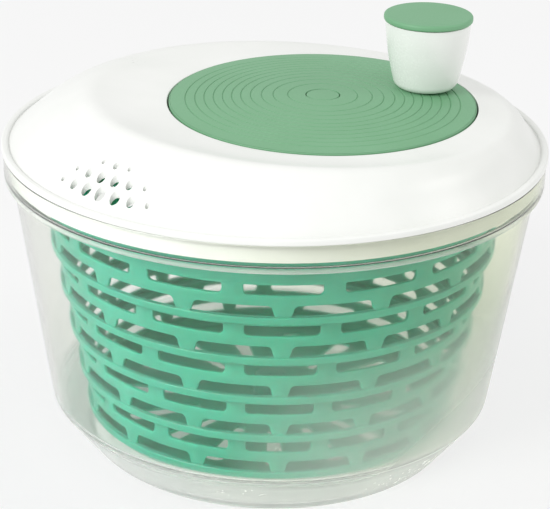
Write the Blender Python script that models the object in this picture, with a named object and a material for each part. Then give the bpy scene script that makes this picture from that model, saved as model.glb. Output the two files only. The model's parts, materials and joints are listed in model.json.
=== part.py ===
"""Salad spinner: clear bowl, slotted basket, off-centre crank lid with an internal ring gear drive.

Run by itself in Blender 4.5.  Metres, Z up, the bowl stands on z = 0 with its axis at x = y = 0.
The crank disc sits off to +X by the centre distance of the ring gear and its pinion.
"""
import math

import bmesh
import bpy
from mathutils import Matrix, Vector

MM = 0.001

# ---- driving sizes, in millimetres -------------------------------------------------------------
lidRadius = 130.0            # bead of the lid, the widest thing on the spinner
bowlHeight = 150.3           # top of the clear collar
wallFlare = 16.7             # how much wider the bowl's wall is at its top than at its corner
cornerInset = 19.8           # from the corner in to the ring the bowl stands on
cornerHeight = 24.6          # where the bowl's lower cone turns into its wall
bowlWall = 2.4
basketWall = 1.8
armCount = 3                 # arms of the drive plate
slotsPerArm = 5              # slots in one row of the basket, from one arm to the next
tierCount = 5                # each tier holds two staggered rows of slots
lastTier = 23.7              # from the last tier's first slots down to the basket's underside
slotHeight = 5.0
slotShare = 0.785            # part of the slot pitch that is open
slotPhase = math.radians(-75.8)
lidWall = 2.2
discRadius = 72.7            # crank disc
knobClear = 11.9             # knob axis from the outside of the ring gear under it
knobAngle = math.radians(32.2)
knobHeight = 35.7            # knob with its cap, from the disc top
knobRadius = 21.2
knobFoot = 13.3              # radius of the flat the knob turns on
gearModule = 1.5
pinionTeeth = 12
ringTeeth = 42
pressureAngle = math.radians(20.0)
backlash = 0.30
runGap = 0.3                 # clearance between parts that turn or slide on each other
roundSteps = 40              # sides of the large turned parts
smallSteps = 16

# ---- sizes that follow from them ---------------------------------------------------------------
offset = gearModule * (ringTeeth - pinionTeeth) / 2.0     # crank axis from the bowl axis
collarRadius = lidRadius - 0.7
collarInner = collarRadius - bowlWall
stepHeight = bowlHeight - 12.7
wallTopRadius = collarRadius - 3.8
cornerRadius = wallTopRadius - wallFlare
footRadius = cornerRadius - cornerInset   # outer edge of the ring the bowl stands on
wallLean = (wallTopRadius - cornerRadius) / (stepHeight - cornerHeight)
skirtRadius = collarInner - 2.0 * runGap
skirtBottom = bowlHeight - 9.8
beadBottom = bowlHeight + runGap
seatHeight = bowlHeight + 22.1           # lid surface at the edge of the crank disc
crestHeight = seatHeight + 0.3
recessRadius = discRadius + 0.8
crestCentre = offset / 2.0                # the crest is half way from the rim to the disc
crestRadius = (lidRadius - 4.6 + recessRadius) / 2.0 + 1.05
slopeRadius = (lidRadius - 4.6 + crestRadius) / 2.0 + 0.45
recessTop = seatHeight - 6.4             # floor under the disc
recessUnder = recessTop - 2.0
discUnder = recessTop + 3.4
discEdge = seatHeight + 0.5
discRise = 3.0
discCrown = discEdge + discRise
ringPitch = gearModule * ringTeeth / 2.0
pinionPitch = gearModule * pinionTeeth / 2.0
ringOuter = ringPitch + 9.5
ringScrewRadius = ringPitch + 5.7
ringTop = discUnder - runGap
ringBottom = ringTop - 9.6
openRadius = ringOuter + 2.0
coverBottom = recessUnder - 10.0
coverTop = coverBottom + 2.0
coverScrewRadius = openRadius + 10.0
axleRadius = 4.0
axleBore = axleRadius + runGap
hubTop = coverBottom - 2.7
plateBottom = skirtBottom - 0.3
shaftEnd = plateBottom + 4.8
rimTop = plateBottom - 0.9               # top of the basket flange
rimUnder = rimTop - basketWall
rimRadius = wallTopRadius - 14.5
topRadius = rimRadius - 2.8
basketBottom = 13.0
tierTop = rimUnder - 14.2                # top of the first row of slots
tierStep = 4.15                           # how far each tier steps in
tierPitch = (tierTop - basketBottom - lastTier) / (tierCount - 1)
rowDrop = tierPitch / 2.0 - 0.8           # from a tier's first row of slots to its second
slotCount = slotsPerArm * armCount        # slots in one row, so each arm meets a bar
knobReach = ringOuter + knobClear         # knob axis from the disc axis
knobX = knobReach * math.cos(knobAngle)
knobY = knobReach * math.sin(knobAngle)
underFoot = (knobReach - knobFoot) / discRadius
knobBase = discEdge + discRise * (1.0 - underFoot ** 2) + runGap / 3.0
knobTop = knobBase + knobHeight
capUnder = knobTop - 2.9
cupTop = capUnder - runGap
pinTop = cupTop - 4.7


# ---- scene and helpers -------------------------------------------------------------------------
def clearScene():
    for thing in list(bpy.data.objects):
        bpy.data.objects.remove(thing, do_unlink=True)
    for mesh in list(bpy.data.meshes):
        bpy.data.meshes.remove(mesh)


def newCollection(name):
    group = bpy.data.collections.new(name)
    bpy.context.scene.collection.children.link(group)
    return group


def newMaterial(name, colour, roughness, metallic=0.0, transmission=0.0):
    material = bpy.data.materials.new(name)
    material.use_nodes = True
    shader = material.node_tree.nodes["Principled BSDF"]
    shader.inputs["Base Color"].default_value = (*colour, 1.0)
    shader.inputs["Roughness"].default_value = roughness
    shader.inputs["Metallic"].default_value = metallic
    shader.inputs["Transmission Weight"].default_value = transmission
    material.diffuse_color = (*colour, 1.0)
    return material


def addObject(name, bm, group, material, place=(0.0, 0.0)):
    """Make an object from bmesh data in millimetres, with its origin at place on the floor."""
    bmesh.ops.remove_doubles(bm, verts=bm.verts, dist=1e-5)
    bmesh.ops.triangulate(bm, faces=bm.faces)
    bmesh.ops.recalc_face_normals(bm, faces=bm.faces)
    bmesh.ops.scale(bm, vec=(MM, MM, MM), verts=bm.verts)
    mesh = bpy.data.meshes.new(name)
    bm.to_mesh(mesh)
    bm.free()
    thing = bpy.data.objects.new(name, mesh)
    thing.location = (place[0] * MM, place[1] * MM, 0.0)
    if material:
        mesh.materials.append(material)
    group.objects.link(thing)
    return thing


def addRings(bm, rings, closed):
    """Join a list of vertex rings with faces; a ring of one vertex is a pole."""
    pairs = list(zip(rings, rings[1:]))
    if closed:
        pairs.append((rings[-1], rings[0]))
    for first, second in pairs:
        count = max(len(first), len(second))
        for i in range(count):
            j = (i + 1) % count
            if len(first) == 1:
                bm.faces.new((first[0], second[i], second[j]))
            elif len(second) == 1:
                bm.faces.new((first[i], second[0], first[j]))
            else:
                bm.faces.new((first[i], second[i], second[j], first[j]))


def addTurned(bm, profile, steps, centre=(0.0, 0.0)):
    """Turn a profile of (radius, height) about a vertical axis; a profile that never meets
    the axis is closed on itself."""
    rings = []
    for radius, height in profile:
        ring = []
        if radius == 0.0:
            ring.append(bm.verts.new((centre[0], centre[1], height)))
        else:
            for i in range(steps):
                angle = 2.0 * math.pi * i / steps
                x = centre[0] + radius * math.cos(angle)
                y = centre[1] + radius * math.sin(angle)
                ring.append(bm.verts.new((x, y, height)))
        rings.append(ring)
    addRings(bm, rings, closed=profile[0][0] != 0.0)


def turned(name, profile, group, material, steps=smallSteps, place=(0.0, 0.0)):
    bm = bmesh.new()
    addTurned(bm, profile, steps)
    return addObject(name, bm, group, material, place)


def addRod(bm, centre, radius, bottom, top, steps=12):
    addTurned(bm, [(0.0, bottom), (radius, bottom), (radius, top), (0.0, top)], steps, centre)


def addBar(bm, length, inner, width, bottom, top, angle):
    """A flat bar that runs outward from the axis at an angle."""
    bar = bmesh.ops.create_cube(bm, size=1.0)["verts"]
    bmesh.ops.scale(bm, vec=(length - inner, width, top - bottom), verts=bar)
    middle = Vector(((length + inner) / 2.0, 0.0, (bottom + top) / 2.0))
    bmesh.ops.translate(bm, vec=middle, verts=bar)
    bmesh.ops.rotate(bm, cent=(0, 0, 0), matrix=Matrix.Rotation(angle, 3, "Z"), verts=bar)


def useTool(target, tool, kind):
    modifier = target.modifiers.new(tool.name, "BOOLEAN")
    modifier.operation = kind
    modifier.solver = "EXACT"
    modifier.object = tool


def clearFlats(target):
    """Drop the needless edges that the cuts leave on flat faces."""
    modifier = target.modifiers.new("clear_flats", "DECIMATE")
    modifier.decimate_type = "DISSOLVE"
    modifier.angle_limit = math.radians(0.05)


def toolFrom(name, bm, group, place=(0.0, 0.0)):
    tool = addObject(name, bm, group, None, place)
    tool.hide_render = True
    tool.display_type = "WIRE"
    return tool


def circlePoints(count, radius, start=0.0):
    spots = []
    for i in range(count):
        angle = start + 2.0 * math.pi * i / count
        spots.append((radius * math.cos(angle), radius * math.sin(angle)))
    return spots


# ---- gear outlines -----------------------------------------------------------------------------
def involute(angle):
    return math.tan(angle) - angle


def gearOutline(teeth, inner, outer, extra, middles=(0.45,)):
    """Outline of an outside gear; extra widens each tooth, for cutting the gaps of a ring."""
    pitch = gearModule * teeth / 2.0
    base = pitch * math.cos(pressureAngle)
    half = math.pi / (2.0 * teeth) + extra / (2.0 * pitch) + involute(pressureAngle)
    start = max(inner, base)
    radii = [inner] + [start + share * (outer - start) for share in middles] + [outer]
    outline = []
    for i in range(teeth):
        middle = 2.0 * math.pi * i / teeth
        flank = []
        for radius in radii:
            turn = involute(math.acos(min(1.0, base / radius)))
            flank.append((radius, half - turn))
        for radius, spread in flank:
            outline.append((radius * math.cos(middle - spread), radius * math.sin(middle - spread)))
        for radius, spread in reversed(flank):
            outline.append((radius * math.cos(middle + spread), radius * math.sin(middle + spread)))
    return outline


def addPrism(bm, outline, bottom, top):
    low = [bm.verts.new((x, y, bottom)) for x, y in outline]
    high = [bm.verts.new((x, y, top)) for x, y in outline]
    addRings(bm, [low, high], closed=False)
    bm.faces.new(low)
    bm.faces.new(high)


# ---- bowl --------------------------------------------------------------------------------------
def makeBowl(group, material):
    lean = bowlWall * 1.0
    floor = 2.0 + bowlWall + 0.4
    profile = [
        (0.0, 2.0),
        (footRadius - 7.0, 2.0),
        (footRadius - 6.4, 0.0),
        (footRadius, 0.0),
        (footRadius + 2.0, 1.6),
        (cornerRadius - 1.8, cornerHeight - 2.0),
        (cornerRadius, cornerHeight),
        (wallTopRadius, stepHeight - 1.0),
        (collarRadius, stepHeight),
        (collarRadius, bowlHeight),
        (collarInner, bowlHeight),
        (collarInner, stepHeight + bowlWall),
        (wallTopRadius - lean, stepHeight + 1.2),
        (cornerRadius - lean, cornerHeight + 1.2),
        (cornerRadius - lean - 1.6, cornerHeight - 0.6),
        (footRadius + 0.4, floor),
        (8.0, floor),
        (8.0, floor + 5.6),
        (2.9, floor + 5.6),
        (2.9, floor - 0.8),
        (0.0, floor - 0.8),
    ]
    return turned("bowl", profile, group, material, steps=roundSteps)


def makePivot(group, steel, bearing):
    foot = 2.0 + bowlWall + 0.4 - 0.8 + runGap
    bossTop = 2.0 + bowlWall + 0.4 + 5.6
    pin = [
        (0.0, foot),
        (2.6, foot),
        (2.6, basketBottom + 6.6),
        (1.6, basketBottom + 7.6),
        (0.0, basketBottom + 7.8),
    ]
    turned("pivot_pin", pin, group, steel)
    cup = [
        (2.9, bossTop + 0.4),
        (7.6, bossTop + 0.4),
        (7.6, basketBottom - 0.4),
        (5.8, basketBottom - 0.4),
        (5.8, basketBottom + 11.6),
        (0.0, basketBottom + 11.6),
        (0.0, basketBottom + 8.4),
        (2.9, basketBottom + 8.4),
    ]
    bm = bmesh.new()
    rings = []
    for radius, height in cup:
        ring = []
        if radius == 0.0:
            ring.append(bm.verts.new((0.0, 0.0, height)))
        else:
            for x, y in circlePoints(smallSteps, radius):
                ring.append(bm.verts.new((x, y, height)))
        rings.append(ring)
    addRings(bm, rings[:6], closed=False)
    addRings(bm, [rings[6], rings[7], rings[0]], closed=False)
    addObject("pivot_cup", bm, group, bearing)


# ---- basket ------------------------------------------------------------------------------------
def basketRows():
    """Outer and inner (radius, height) of each line around the basket, top to bottom, with the
    kind of band that follows each line."""
    wall = basketWall
    rows = [
        ((rimRadius, rimUnder), (rimRadius, rimTop), "notch"),
        ((topRadius, rimUnder), (topRadius - wall, rimTop), "notch"),
        ((topRadius, rimUnder - 5.3), (topRadius - wall, rimUnder - 5.3), "plain"),
    ]
    for tier in range(tierCount):
        radius = topRadius - 0.4 - tier * tierStep
        top = tierTop - tier * tierPitch
        second = top - rowDrop
        rows.append(((radius, top), (radius - wall, top + wall), "first"))
        rows.append(((radius - 0.3, top - slotHeight), (radius - 0.3 - wall, top - slotHeight), "plain"))
        rows.append(((radius - 0.6, second), (radius - 0.6 - wall, second), "second"))
        low = second - slotHeight
        rows.append(((radius - 0.8, low), (radius - 0.8 - wall, low), "plain"))
    edge = topRadius - 0.4 - (tierCount - 1) * tierStep - 5.5
    rows.append(((edge, basketBottom), (edge - 1.2, basketBottom + wall), "plain"))
    rows.append(((edge - 8.0, basketBottom), (edge - 8.0, basketBottom + wall), "floor"))
    rows.append(((30.0, basketBottom), (30.0, basketBottom + wall), "plain"))
    rows.append(((6.2, basketBottom), (6.2 + wall, basketBottom + wall), "plain"))
    rows.append(((6.2, basketBottom + 12.0), (6.2 + wall, basketBottom + 12.0 + wall), "plain"))
    return rows


def basketAngles():
    pitch = 2.0 * math.pi / slotCount
    bar = pitch * (1.0 - slotShare)
    angles = []
    for i in range(slotCount):
        middle = slotPhase + i * pitch
        angles.append(middle - bar / 2.0)
        angles.append(middle + bar / 2.0)
        angles.append(middle + pitch / 2.0 - bar / 2.0)
        angles.append(middle + pitch / 2.0 + bar / 2.0)
    return angles


def isOpen(kind, column):
    place = column % 4
    if kind == "first":
        return place != 2
    if kind == "second":
        return place != 0
    if kind == "floor":
        return place % 2 == 1
    if kind == "notch":
        return place == 0 and (column // 4) % (slotCount // armCount) == 0
    return False


def makeBasket(group, material):
    bm = bmesh.new()
    rows = basketRows()
    angles = basketAngles()
    count = len(angles)
    sides = []
    for side in (0, 1):
        rings = []
        for row in rows:
            radius, height = row[side]
            ring = [bm.verts.new((radius * math.cos(a), radius * math.sin(a), height)) for a in angles]
            rings.append(ring)
        sides.append(rings)
    kept = {}
    for band in range(len(rows) - 1):
        for column in range(count):
            kept[band, column] = not isOpen(rows[band][2], column)
    for band in range(len(rows) - 1):
        for column in range(count):
            if not kept[band, column]:
                continue
            after = (column + 1) % count
            before = (column - 1) % count
            corners = [(band, column), (band + 1, column), (band + 1, after), (band, after)]
            for rings in sides:
                bm.faces.new([rings[r][c] for r, c in corners])
            neighbours = [(band, before), (band + 1, column), (band, after), (band - 1, column)]
            for i in range(4):
                if neighbours[i][0] == len(rows) - 1:
                    continue
                if kept.get(neighbours[i], False):
                    continue
                a = corners[i]
                b = corners[(i + 1) % 4]
                outer = [sides[0][a[0]][a[1]], sides[0][b[0]][b[1]]]
                inner = [sides[1][b[0]][b[1]], sides[1][a[0]][a[1]]]
                bm.faces.new(outer + inner)
    for rings in sides:
        height = rings[-1][0].co.z
        addRings(bm, [rings[-1], [bm.verts.new((0.0, 0.0, height))]], closed=False)
    return addObject("basket", bm, group, material)


# ---- lid ---------------------------------------------------------------------------------------
def crestLift(angle):
    """The top edge of the lid is a tilted ring, highest towards the drain holes."""
    return -crestRadius * (0.036 * math.cos(angle) + 0.039 * math.sin(angle))


def addLidRing(bm, centre, radius, height, tilt):
    ring = []
    for i in range(roundSteps):
        angle = 2.0 * math.pi * i / roundSteps
        x = centre + radius * math.cos(angle)
        y = radius * math.sin(angle)
        ring.append(bm.verts.new((x, y, height + tilt * crestLift(angle))))
    return ring


def makeLid(group, tools, material):
    under = lidWall
    half = (beadBottom + 2.8 + crestHeight) / 2.0
    rings = [
        (0.0, skirtRadius, skirtBottom, 0.0),
        (0.0, skirtRadius, beadBottom, 0.0),
        (0.0, lidRadius, beadBottom, 0.0),
        (0.0, lidRadius, beadBottom + 2.6, 0.0),
        (0.0, lidRadius - 2.4, beadBottom + 3.0, 0.0),
        (0.0, lidRadius - 3.4, beadBottom + 2.0, 0.0),
        (0.0, lidRadius - 4.6, beadBottom + 2.8, 0.0),
        (crestCentre * 0.45, slopeRadius, half + 1.2, 0.5),
        (crestCentre, crestRadius, crestHeight - 0.8, 1.0),
        (crestCentre + 0.2, crestRadius - 2.3, crestHeight, 1.0),
        (crestCentre + 5.6, (crestRadius + recessRadius) / 2.0, seatHeight - 0.2, 0.45),
        (offset, recessRadius, seatHeight, 0.0),
        (offset, recessRadius, recessTop, 0.0),
        (offset, openRadius, recessTop, 0.0),
        (offset, openRadius, recessUnder, 0.0),
        (offset, recessRadius + 2.0, recessUnder, 0.0),
        (offset, recessRadius + 2.0, seatHeight - under - 0.2, 0.0),
        (crestCentre + 5.6, (crestRadius + recessRadius) / 2.0 + 0.6, seatHeight - 0.2 - under, 0.45),
        (crestCentre, crestRadius - 3.0, crestHeight - under - 0.4, 1.0),
        (crestCentre * 0.45, slopeRadius - 2.0, half - 0.6, 0.5),
        (0.0, skirtRadius - 2.0, beadBottom + 0.4, 0.0),
        (0.0, skirtRadius - 2.0, skirtBottom, 0.0),
    ]
    bm = bmesh.new()
    made = [addLidRing(bm, *ring) for ring in rings]
    addRings(bm, made, closed=True)
    lid = addObject("lid_shell", bm, group, material)

    spots = circlePoints(4, coverScrewRadius, math.radians(45.0))
    bm = bmesh.new()
    for spot in spots:
        addRod(bm, spot, 4.0, coverTop + runGap, recessUnder + 0.9)
    useTool(lid, toolFrom("tool_lid_posts", bm, tools, (offset, 0.0)), "UNION")
    bm = bmesh.new()
    for spot in spots:
        addRod(bm, spot, 1.5, coverTop - 1.0, recessUnder - 1.0, steps=8)
    useTool(lid, toolFrom("tool_lid_screw_holes", bm, tools, (offset, 0.0)), "DIFFERENCE")
    useTool(lid, makeDrainTool(tools), "DIFFERENCE")
    clearFlats(lid)
    return lid


def makeDrainTool(tools):
    """Rods square to the sloping side, in three staggered arcs; the widest are in the middle."""
    bm = bmesh.new()
    lean = math.radians(36.0)
    pitch = math.radians(4.2)
    centre = math.radians(-120.0)
    arcs = [(7, lidRadius - 14.0, 5.6), (6, lidRadius - 19.6, 4.9), (3, lidRadius - 25.0, 3.2)]
    for count, reach, widest in arcs:
        for i in range(count):
            place = i - (count - 1) / 2.0
            wide = widest * (1.0 - 0.55 * (abs(place) / (count / 2.0)) ** 2.2)
            height = beadBottom + 2.8 + (lidRadius - 4.6 - reach) * 0.73 + 1.0
            rod = bmesh.ops.create_cone(bm, cap_ends=True, segments=8, radius1=wide / 2.0,
                                        radius2=wide / 2.0, depth=16.0)["verts"]
            bmesh.ops.rotate(bm, cent=(0, 0, 0), matrix=Matrix.Rotation(lean, 3, "Y"), verts=rod)
            bmesh.ops.translate(bm, vec=(reach, 0.0, height), verts=rod)
            turn = Matrix.Rotation(centre + place * pitch, 3, "Z")
            bmesh.ops.rotate(bm, cent=(0, 0, 0), matrix=turn, verts=rod)
    return toolFrom("tool_drain_holes", bm, tools)


def makeGearCover(group, tools, material):
    inner = ringOuter + 4.5
    profile = [
        (axleBore, coverBottom),
        (coverScrewRadius + 5.0, coverBottom),
        (coverScrewRadius + 5.0, coverTop),
        (inner + 2.0, coverTop),
        (inner + 2.0, recessUnder - runGap),
        (inner, recessUnder - runGap),
        (inner, coverTop),
        (8.0, coverTop),
        (8.0, ringBottom - 0.2),
        (axleBore, ringBottom - 0.2),
    ]
    cover = turned("gear_cover", profile, group, material, steps=40, place=(offset, 0.0))
    bm = bmesh.new()
    addRod(bm, (-offset, 0.0), 6.5, coverBottom - 1.0, coverTop + 1.0, steps=20)
    for spot in circlePoints(4, coverScrewRadius, math.radians(45.0)):
        addRod(bm, spot, 1.5, coverBottom - 1.0, coverTop + 1.0, steps=8)
    useTool(cover, toolFrom("tool_cover_holes", bm, tools, (offset, 0.0)), "DIFFERENCE")
    clearFlats(cover)
    return cover


def makeScrew(name, spot, headTop, length, head, shank, group, material):
    """A screw put in from below: head underneath, shank upward, origin on its own axis."""
    profile = [
        (0.0, headTop - 1.0),
        (1.1, headTop - 1.0),
        (1.1, headTop - 1.6),
        (head, headTop - 1.4),
        (head, headTop),
        (shank, headTop),
        (shank, headTop + length - 0.8),
        (0.0, headTop + length),
    ]
    return turned(name, profile, group, material, steps=10, place=spot)


def makeCoverScrews(group, steel):
    for i, spot in enumerate(circlePoints(4, coverScrewRadius, math.radians(45.0))):
        place = (offset + spot[0], spot[1])
        name = "cover_screw_" + str(i + 1)
        length = recessUnder - 1.6 - coverBottom + runGap
        makeScrew(name, place, coverBottom - runGap, length, 3.0, 1.2, group, steel)


# ---- drive -------------------------------------------------------------------------------------
def makePinion(group, tools, material):
    outline = gearOutline(pinionTeeth, pinionPitch - 1.2 * gearModule,
                          pinionPitch + 0.88 * gearModule, -backlash / 2.0)
    top = ringTop - 1.1
    bottom = coverTop + 2.0
    bm = bmesh.new()
    addPrism(bm, outline, bottom, top)
    pinion = addObject("drive_pinion", bm, group, material)
    bm = bmesh.new()
    addRod(bm, (0.0, 0.0), axleRadius, shaftEnd, bottom + 2.0, steps=smallSteps)
    useTool(pinion, toolFrom("tool_pinion_shaft", bm, tools), "UNION")
    bm = bmesh.new()
    addRod(bm, (0.0, 0.0), 1.6, shaftEnd - 1.0, shaftEnd + 8.0, steps=12)
    useTool(pinion, toolFrom("tool_pinion_hole", bm, tools), "DIFFERENCE")
    bush = [
        (axleBore, coverBottom - 1.8),
        (6.2, coverBottom - 1.8),
        (6.2, coverTop + runGap),
        (8.5, coverTop + runGap),
        (8.5, coverTop + 1.6),
        (axleBore, coverTop + 1.6),
    ]
    turned("pinion_bush", bush, group, material)


def makeDrivePlate(group, tools, material, steel):
    """Hub under the lid with arms whose ends drop into the notches of the basket rim."""
    hub = [
        (0.0, plateBottom),
        (12.0, plateBottom),
        (12.0, hubTop),
        (axleBore, hubTop),
        (axleBore, shaftEnd - runGap),
        (0.0, shaftEnd - runGap),
    ]
    plate = turned("drive_plate", hub, group, material)
    width = 2.0 * math.pi * topRadius / slotCount * (1.0 - slotShare) - 2.0
    for i in range(armCount):
        angle = slotPhase + 2.0 * math.pi * i / armCount
        bm = bmesh.new()
        addBar(bm, topRadius - 0.5, 9.0, width, plateBottom, plateBottom + 3.5, angle)
        useTool(plate, toolFrom("tool_arm_" + str(i + 1), bm, tools), "UNION")
        bm = bmesh.new()
        reach = topRadius - 0.9
        addBar(bm, reach, reach - 8.0, width - 0.4, rimUnder - 4.5, plateBottom + 3.0, angle)
        useTool(plate, toolFrom("tool_lug_" + str(i + 1), bm, tools), "UNION")
    bm = bmesh.new()
    addRod(bm, (0.0, 0.0), 1.6, plateBottom - 1.0, shaftEnd + 1.0, steps=12)
    useTool(plate, toolFrom("tool_plate_hole", bm, tools), "DIFFERENCE")
    length = shaftEnd + 7.0 - plateBottom
    makeScrew("drive_plate_screw", (0.0, 0.0), plateBottom - runGap, length, 3.5, 1.3, group, steel)


def makeCrankDisc(group, tools, green):
    profile = [
        (axleBore, ringBottom + 1.1),
        (8.0, ringBottom + 1.1),
        (8.0, discUnder),
        (discRadius - 1.0, discUnder),
        (discRadius, discUnder + 0.8),
        (discRadius, discEdge - 0.8),
    ]
    for share in (0.985, 0.8, 0.58, 0.34):
        radius = discRadius * share
        profile.append((radius, discEdge + discRise * (1.0 - share * share)))
    profile.append((8.2, discCrown - 0.05))
    profile.append((8.2, discUnder + 2.1))
    profile.append((axleBore, discUnder + 2.1))
    disc = turned("crank_disc", profile, group, green, steps=roundSteps, place=(offset, 0.0))
    bm = bmesh.new()
    addRod(bm, (knobX, knobY), 3.3, discUnder - 1.0, discCrown + 1.0)
    for spot in circlePoints(4, ringScrewRadius, math.radians(45.0) + knobAngle):
        addRod(bm, spot, 1.5, discUnder - 1.0, discUnder + 3.6, steps=8)
    useTool(disc, toolFrom("tool_disc_holes", bm, tools, (offset, 0.0)), "DIFFERENCE")
    clearFlats(disc)
    cap = [
        (0.0, discCrown - 1.7),
        (7.9, discCrown - 1.7),
        (7.9, discCrown - 0.2),
        (7.2, discCrown),
        (0.0, discCrown),
    ]
    turned("disc_cap", cap, group, green, place=(offset, 0.0))


def makeRingGear(group, tools, material, steel):
    outline = gearOutline(ringTeeth, ringPitch - 0.8 * gearModule,
                          ringPitch + 1.2 * gearModule, backlash / 2.0, middles=())
    body = [(0.0, ringBottom), (ringOuter, ringBottom), (ringOuter, ringTop), (0.0, ringTop)]
    ring = turned("ring_gear", body, group, material, steps=40, place=(offset, 0.0))
    bm = bmesh.new()
    addPrism(bm, outline, ringBottom - 1.0, ringTop + 1.0)
    useTool(ring, toolFrom("tool_ring_teeth", bm, tools, (offset, 0.0)), "DIFFERENCE")
    bm = bmesh.new()
    spots = circlePoints(4, ringScrewRadius, math.radians(45.0) + knobAngle)
    for spot in spots:
        addRod(bm, spot, 1.5, ringBottom - 1.0, ringTop + 1.0, steps=8)
    useTool(ring, toolFrom("tool_ring_holes", bm, tools, (offset, 0.0)), "DIFFERENCE")
    clearFlats(ring)
    for i, spot in enumerate(spots):
        place = (offset + spot[0], spot[1])
        length = discUnder + 3.0 - ringBottom + runGap
        name = "ring_gear_screw_" + str(i + 1)
        makeScrew(name, place, ringBottom - runGap, length, 2.8, 1.2, group, steel)


def makeCrankAxle(group, steel, bearing):
    clipBottom = discUnder + 2.6
    axle = [
        (0.0, coverBottom - 1.9),
        (6.5, coverBottom - 1.9),
        (6.5, coverBottom - runGap),
        (axleRadius, coverBottom - runGap),
        (axleRadius, clipBottom),
        (3.2, clipBottom),
        (3.2, clipBottom + 1.0),
        (axleRadius, clipBottom + 1.0),
        (axleRadius, clipBottom + 1.5),
        (0.0, clipBottom + 1.6),
    ]
    turned("crank_axle", axle, group, steel, place=(offset, 0.0))
    washer = [
        (axleBore, ringBottom + 0.1),
        (7.8, ringBottom + 0.1),
        (7.8, ringBottom + 0.8),
        (axleBore, ringBottom + 0.8),
    ]
    turned("axle_washer", washer, group, bearing, place=(offset, 0.0))
    clip = [
        (3.4, clipBottom + 0.15),
        (6.2, clipBottom + 0.15),
        (6.2, clipBottom + 0.85),
        (3.4, clipBottom + 0.85),
    ]
    turned("axle_clip", clip, group, steel, place=(offset, 0.0))


# ---- knob --------------------------------------------------------------------------------------
def makeKnob(group, white, green, steel, bearing):
    place = (offset + knobX, knobY)
    grooveBottom = pinTop - 2.4
    axle = [
        (0.0, discUnder - 2.3),
        (5.5, discUnder - 2.3),
        (5.5, discUnder - runGap),
        (3.0, discUnder - runGap),
        (3.0, grooveBottom),
        (2.2, grooveBottom),
        (2.2, grooveBottom + 1.1),
        (3.0, grooveBottom + 1.1),
        (3.0, pinTop - 0.4),
        (0.0, pinTop),
    ]
    turned("knob_axle", axle, group, steel, place=place)
    clip = [
        (2.5, grooveBottom + 0.2),
        (5.6, grooveBottom + 0.2),
        (5.6, grooveBottom + 0.9),
        (2.5, grooveBottom + 0.9),
    ]
    turned("knob_clip", clip, group, steel, place=place)
    postTop = grooveBottom - 0.6
    bush = [
        (3.3, knobBase + 0.6),
        (4.7, knobBase + 0.6),
        (4.7, postTop + 0.3),
        (3.3, postTop + 0.3),
    ]
    turned("knob_bush", bush, group, bearing, place=place)
    tall = cupTop - knobBase
    body = [
        (5.0, knobBase),
        (knobFoot, knobBase),
        (knobFoot + 2.2, knobBase + 0.8),
        (knobFoot + 3.0, knobBase + 2.4),
        (knobFoot + 4.5, knobBase + 0.24 * tall),
        (knobRadius - 2.5, knobBase + 0.53 * tall),
        (knobRadius - 1.0, cupTop - 0.6),
        (knobRadius - 1.3, cupTop),
        (knobRadius - 2.8, cupTop),
        (knobRadius - 4.4, knobBase + 0.53 * tall),
        (knobFoot + 1.4, knobBase + 5.0),
        (8.0, knobBase + 3.6),
        (7.0, postTop),
        (5.0, postTop),
    ]
    turned("knob_body", body, group, white, steps=24, place=place)
    cap = [
        (0.0, capUnder + 0.4),
        (knobRadius - 4.6, capUnder + 0.4),
        (knobRadius - 4.6, capUnder - 2.4),
        (knobRadius - 3.3, capUnder - 2.4),
        (knobRadius - 3.3, capUnder),
        (knobRadius - 0.7, capUnder),
        (knobRadius, capUnder + 0.9),
        (knobRadius, knobTop - 1.1),
        (knobRadius - 0.9, knobTop - 0.15),
        (knobRadius - 2.0, knobTop),
        (0.0, knobTop),
    ]
    turned("knob_cap", cap, group, green, steps=24, place=place)


# ---- build -------------------------------------------------------------------------------------
def build():
    clearScene()
    group = newCollection("salad_spinner")
    tools = newCollection("cutters")
    clear = newMaterial("clear_bowl_plastic", (0.72, 0.76, 0.64), 0.08, transmission=0.85)
    white = newMaterial("white_lid_plastic", (0.84, 0.84, 0.82), 0.35)
    green = newMaterial("sage_green_plastic", (0.23, 0.48, 0.30), 0.5)
    teal = newMaterial("teal_basket_plastic", (0.14, 0.50, 0.36), 0.4)
    gear = newMaterial("natural_acetal", (0.78, 0.77, 0.70), 0.4)
    steel = newMaterial("stainless_steel", (0.55, 0.55, 0.56), 0.25, metallic=1.0)

    makeBowl(group, clear)
    makePivot(group, steel, gear)
    makeBasket(group, teal)
    makeLid(group, tools, white)
    makeGearCover(group, tools, white)
    makeCoverScrews(group, steel)
    makePinion(group, tools, gear)
    makeDrivePlate(group, tools, white, steel)
    makeCrankDisc(group, tools, green)
    makeRingGear(group, tools, gear, steel)
    makeCrankAxle(group, steel, gear)
    makeKnob(group, white, green, steel, gear)


build()
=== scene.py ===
import json
import math

import bmesh
import bpy
from mathutils import Matrix, Vector


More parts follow.
